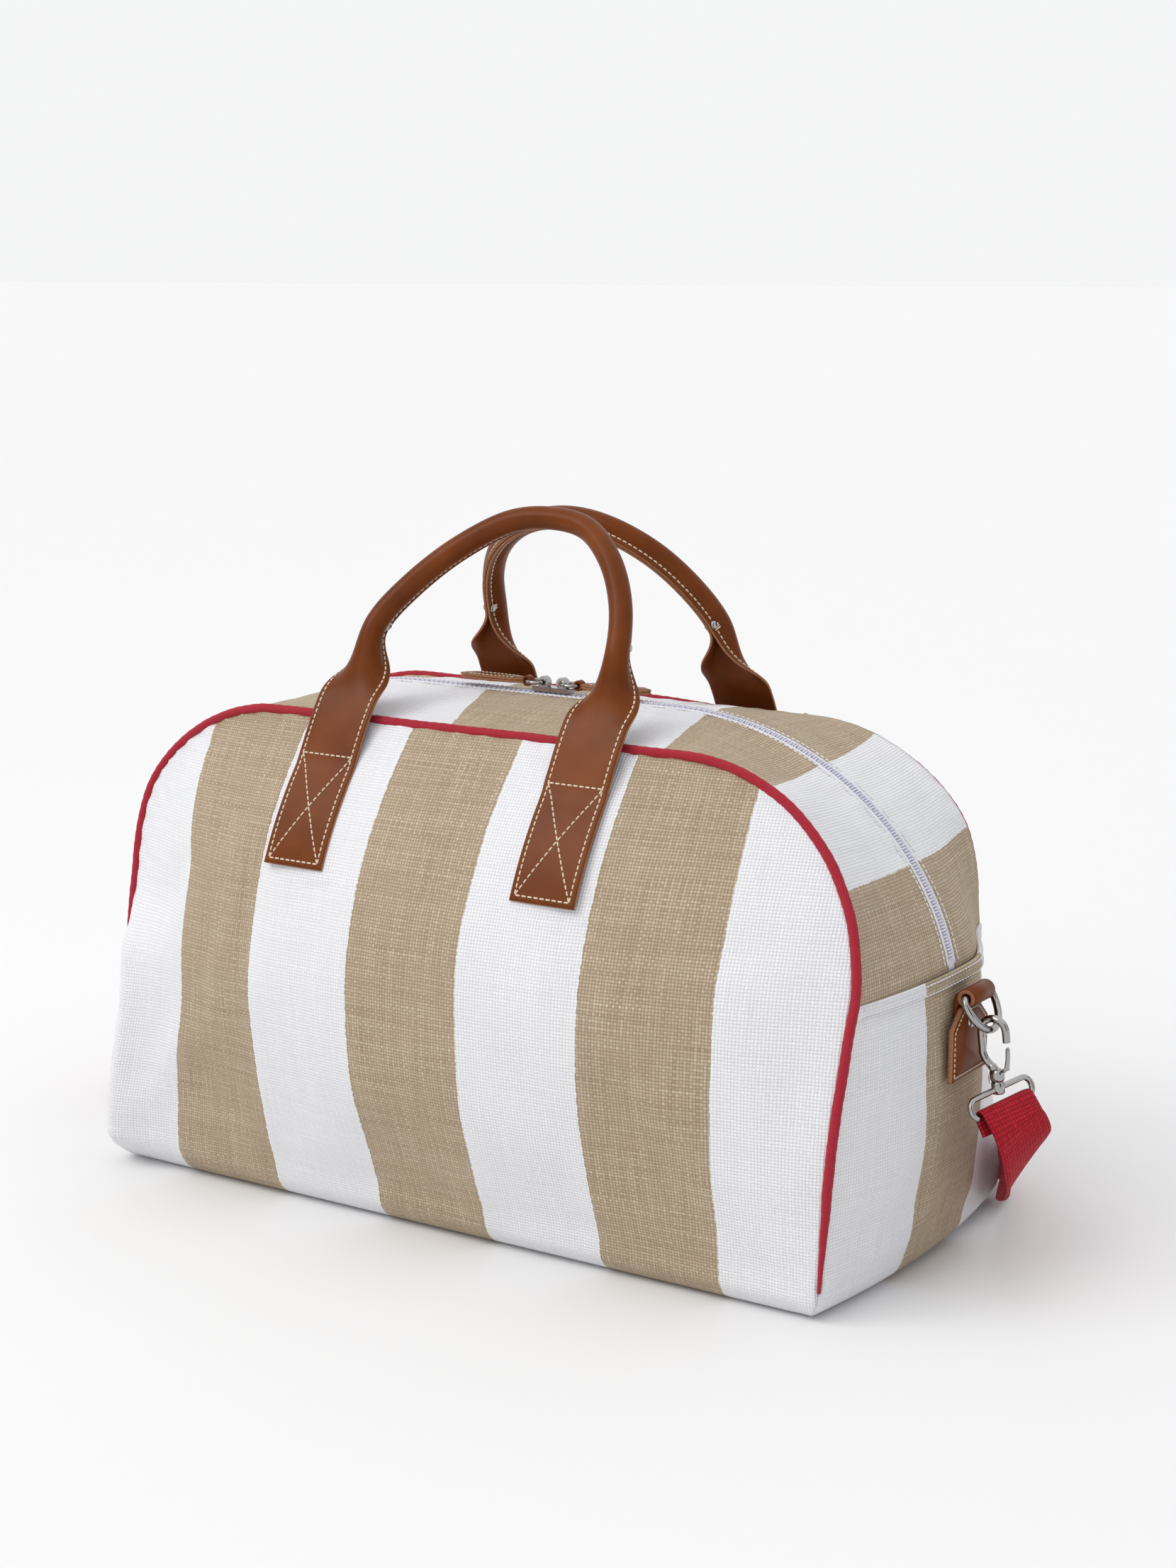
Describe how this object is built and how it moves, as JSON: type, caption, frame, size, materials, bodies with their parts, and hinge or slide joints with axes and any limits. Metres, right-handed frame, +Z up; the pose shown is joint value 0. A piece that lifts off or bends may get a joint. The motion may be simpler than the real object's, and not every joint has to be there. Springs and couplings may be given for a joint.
{
  "type": "weekender bag",
  "caption": "Striped canvas weekender bag with domed top, two rolled leather handles, full-length zipper, red piping and a clip-on webbing shoulder strap.",
  "frame": {"origin": "on the floor under the middle of the bag, at the centre of the bottom panel", "axes": "+X along the bag to its right end, +Y from the front to the back, +Z up"},
  "size_m": [0.6078, 0.3326, 0.3922],
  "materials": {
    "canvas": "coarse basket weave",
    "lining": "plain cotton",
    "board": "stiff base board",
    "piping": "covered cord",
    "zipper_tape": "tape and coil",
    "webbing": "woven webbing",
    "leather": "smooth, semi-gloss",
    "nickel": "polished nickel"
  },
  "bodies": {
    "bag_body": {"front_panel": "canvas", "back_panel": "canvas", "gusset_front": "canvas", "gusset_back": "canvas", "side_panel_left": "canvas", "side_panel_right": "canvas", "bottom_panel": "canvas", "lining_front": "lining", "lining_back": "lining", "bottom_board": "board", "piping_front": "piping", "piping_back": "piping", "zipper_chain": "zipper_tape", "handle_front_tab_left": "leather", "handle_front_tab_right": "leather", "handle_back_tab_left": "leather", "handle_back_tab_right": "leather", "side_tab_left": "leather", "side_tab_right": "leather", "side_tab_rivet_left": "nickel", "side_tab_rivet_right": "nickel", "side_loop_left": "leather", "side_loop_right": "leather"},
    "front_handle": {"handle_front": "leather", "handle_front_rivet_left_outer": "nickel", "handle_front_rivet_left_inner": "nickel", "handle_front_rivet_right_outer": "nickel", "handle_front_rivet_right_inner": "nickel"},
    "back_handle": {"handle_back": "leather", "handle_back_rivet_left_outer": "nickel", "handle_back_rivet_left_inner": "nickel", "handle_back_rivet_right_outer": "nickel", "handle_back_rivet_right_inner": "nickel"},
    "slider_left": {"zipper_slider_left": "nickel"},
    "pull_left": {"pull_ring_left": "nickel", "pull_tab_left": "leather"},
    "ring_left": {"d_ring_left": "nickel"},
    "slider_right": {"zipper_slider_right": "nickel"},
    "pull_right": {"pull_ring_right": "nickel", "pull_tab_right": "leather"},
    "ring_right": {"d_ring_right": "nickel"},
    "shoulder_strap": {"strap_webbing": "webbing", "swivel_loop_left": "nickel", "swivel_loop_right": "nickel"},
    "hook_left": {"snap_hook_left": "nickel"},
    "gate_left": {"hook_gate_left": "nickel"},
    "hook_right": {"snap_hook_right": "nickel"},
    "gate_right": {"hook_gate_right": "nickel"}
  },
  "joints": [
    {"name": "front_handle_fold", "type": "hinge", "parent": "bag_body", "child": "front_handle", "pos_m": [0, -0.093, 0.2596], "axis": [1, 0, 0], "range_deg": [0, 150]},
    {"name": "back_handle_fold", "type": "hinge", "parent": "bag_body", "child": "back_handle", "pos_m": [0, 0.093, 0.2596], "axis": [-1, 0, 0], "range_deg": [0, 150]},
    {"name": "shoulder_strap_swing", "type": "hinge", "parent": "bag_body", "child": "shoulder_strap", "pos_m": [0, 0, 0.14854], "axis": [1, 0, 0], "range_deg": [0, 25]},
    {"name": "zipper_slide_left", "type": "slide", "parent": "bag_body", "child": "slider_left", "axis": [1, 0, 0], "range_m": [-0.078, 0]},
    {"name": "pull_flip_left", "type": "hinge", "parent": "slider_left", "child": "pull_left", "pos_m": [-0.00015, 0, 0.292], "axis": [0, 1, 0], "range_deg": [0, 110]},
    {"name": "ring_swing_left", "type": "hinge", "parent": "bag_body", "child": "ring_left", "pos_m": [-0.2676, 0, 0.152], "axis": [0, 1, 0], "range_deg": [0, 3]},
    {"name": "hook_swivel_left", "type": "hinge", "parent": "shoulder_strap", "child": "hook_left", "pos_m": [-0.281, 0, 0.1065], "axis": [0.1197, 0, 0.9928], "range_deg": [-8, 8]},
    {"name": "gate_press_left", "type": "hinge", "parent": "hook_left", "child": "gate_left", "pos_m": [-0.28587, 0, 0.11291], "axis": [0, 1, 0], "range_deg": [0, 20], "stiffness_Nm_per_rad": 0.01},
    {"name": "zipper_slide_right", "type": "slide", "parent": "bag_body", "child": "slider_right", "axis": [1, 0, 0], "range_m": [0, 0.066]},
    {"name": "pull_flip_right", "type": "hinge", "parent": "slider_right", "child": "pull_right", "pos_m": [0.01215, 0, 0.292], "axis": [0, -1, 0], "range_deg": [0, 110]},
    {"name": "ring_swing_right", "type": "hinge", "parent": "bag_body", "child": "ring_right", "pos_m": [0.2676, 0, 0.152], "axis": [0, -1, 0], "range_deg": [0, 3]},
    {"name": "hook_swivel_right", "type": "hinge", "parent": "shoulder_strap", "child": "hook_right", "pos_m": [0.281, 0, 0.1065], "axis": [-0.1197, 0, 0.9928], "range_deg": [-8, 8]},
    {"name": "gate_press_right", "type": "hinge", "parent": "hook_right", "child": "gate_right", "pos_m": [0.28587, 0, 0.11291], "axis": [0, -1, 0], "range_deg": [0, 20], "stiffness_Nm_per_rad": 0.01}
  ]
}
